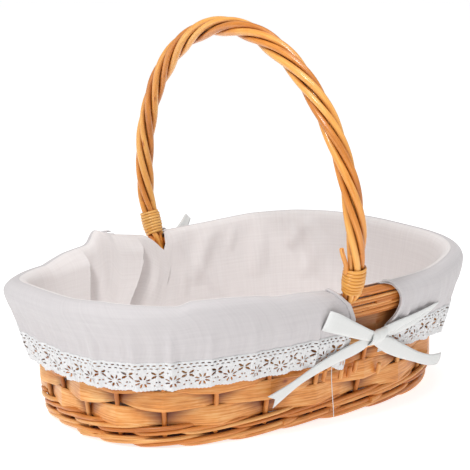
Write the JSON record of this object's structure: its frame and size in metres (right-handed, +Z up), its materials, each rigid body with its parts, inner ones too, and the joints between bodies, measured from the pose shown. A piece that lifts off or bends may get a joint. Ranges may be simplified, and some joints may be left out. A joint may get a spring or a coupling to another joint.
{
  "type": "bread basket",
  "caption": "Oval woven willow basket with flaring walls, a roped arch handle, and a removable cotton liner with lace hem and tied ribbons.",
  "frame": {"origin": "on the standing plane, under the middle of the basket", "axes": "+Z up, X along the basket's long side, -Y towards the front, and the handle arches across from -Y to +Y"},
  "size_m": [0.3956, 0.3241, 0.3307],
  "materials": {
    "willow_rod": "satin varnish",
    "split_willow": "satin varnish over split grain",
    "handle_willow": "satin varnish, honey",
    "binding_cane": "satin cane",
    "liner_cotton": "plain weave cotton, off white",
    "lace_cotton": "cotton lace, white",
    "ribbon_cotton": "flat tape ribbon, white"
  },
  "bodies": {
    "root": {"foot_ring": "willow_rod", "base_mat": "willow_rod", "base_stick_1": "willow_rod", "base_stick_2": "willow_rod", "base_stick_3": "willow_rod", "stake_01": "willow_rod", "stake_02": "willow_rod", "stake_03": "willow_rod", "stake_04": "willow_rod", "stake_05": "willow_rod", "stake_06": "willow_rod", "stake_07": "willow_rod", "stake_08": "willow_rod", "stake_09": "willow_rod", "stake_10": "willow_rod", "stake_11": "willow_rod", "stake_12": "willow_rod", "stake_13": "willow_rod", "stake_14": "willow_rod", "stake_15": "willow_rod", "stake_16": "willow_rod", "stake_17": "willow_rod", "stake_18": "willow_rod", "stake_19": "willow_rod", "stake_20": "willow_rod", "stake_21": "willow_rod", "stake_22": "willow_rod", "stake_23": "willow_rod", "stake_24": "willow_rod", "wale_rod_1": "willow_rod", "wale_rod_2": "willow_rod", "wale_rod_3": "willow_rod", "border_rod_1": "willow_rod", "border_rod_2": "willow_rod", "border_rod_3": "willow_rod", "border_inner_rod": "willow_rod", "border_top_left": "willow_rod", "border_top_right": "willow_rod", "split_weaver_1": "split_willow", "split_weaver_2": "split_willow", "split_weaver_3": "split_willow", "split_weaver_4": "split_willow", "split_weaver_5": "split_willow", "handle_core": "handle_willow", "handle_rod_1": "handle_willow", "handle_rod_2": "handle_willow", "handle_rod_3": "handle_willow", "handle_rod_4": "handle_willow", "handle_rod_5": "handle_willow", "handle_rod_end": "handle_willow", "binding_front": "binding_cane", "binding_back": "binding_cane", "liner_bag": "liner_cotton", "liner_cuff_left": "liner_cotton", "liner_cuff_right": "liner_cotton", "loose_thread": "liner_cotton", "lace_left": "lace_cotton", "lace_right": "lace_cotton", "tie_bow_front": "ribbon_cotton", "tie_bow_back": "ribbon_cotton"}
  },
  "joints": []
}
